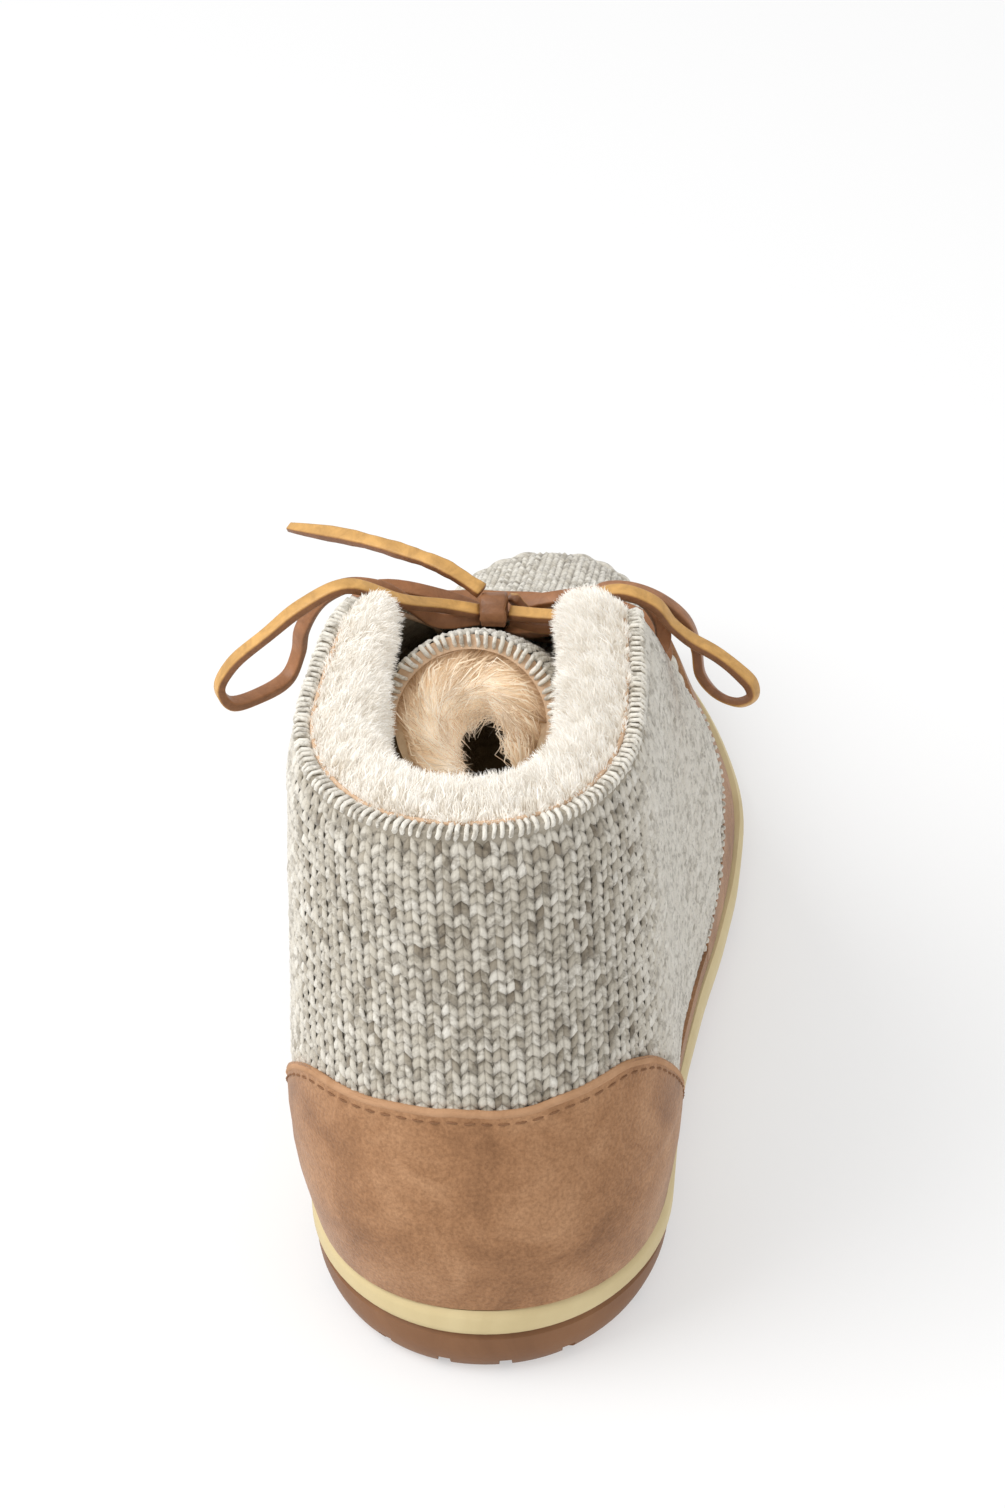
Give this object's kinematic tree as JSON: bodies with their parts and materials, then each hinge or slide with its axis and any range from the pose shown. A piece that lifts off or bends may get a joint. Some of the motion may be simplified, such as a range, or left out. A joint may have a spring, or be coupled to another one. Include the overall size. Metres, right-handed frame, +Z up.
{
  "type": "lace-up ankle boot",
  "caption": "Ankle boot with a hollow knit upper, suede heel counter and toe wall, pile-lined collar, tongue, leather lace tied in a bow and a lugged rubber sole.",
  "frame": {"origin": "floor point under the middle of the boot's box, measured without the loose lace", "axes": "+Y towards the toe, +X towards the outer (lateral) side, +Z up"},
  "size_m": [0.1047, 0.2574, 0.1197],
  "materials": {
    "knit": "chunky oatmeal marl knit, vertical wales, matt",
    "suede": "tan brushed suede, short nap, matt",
    "midsole_cream": "cream foam rubber, satin",
    "outsole_rubber": "gum brown rubber, satin",
    "footbed": "short pile",
    "pile": "deep cream pile",
    "lace": "golden tan leather thong, soft sheen"
  },
  "bodies": {
    "root": {"outsole": "outsole_rubber", "midsole": "midsole_cream", "insole": "footbed", "upper": "knit", "heel_counter": "suede", "toe_wall": "suede", "apron_seam": "knit", "pile_lining": "pile", "tongue": "knit", "lace_bar_lower": "lace", "lace_bar_upper": "lace", "lace_knot": "lace", "lace_loop_left": "lace", "lace_loop_right": "lace", "lace_end_left": "lace", "lace_end_right": "lace"}
  },
  "joints": []
}
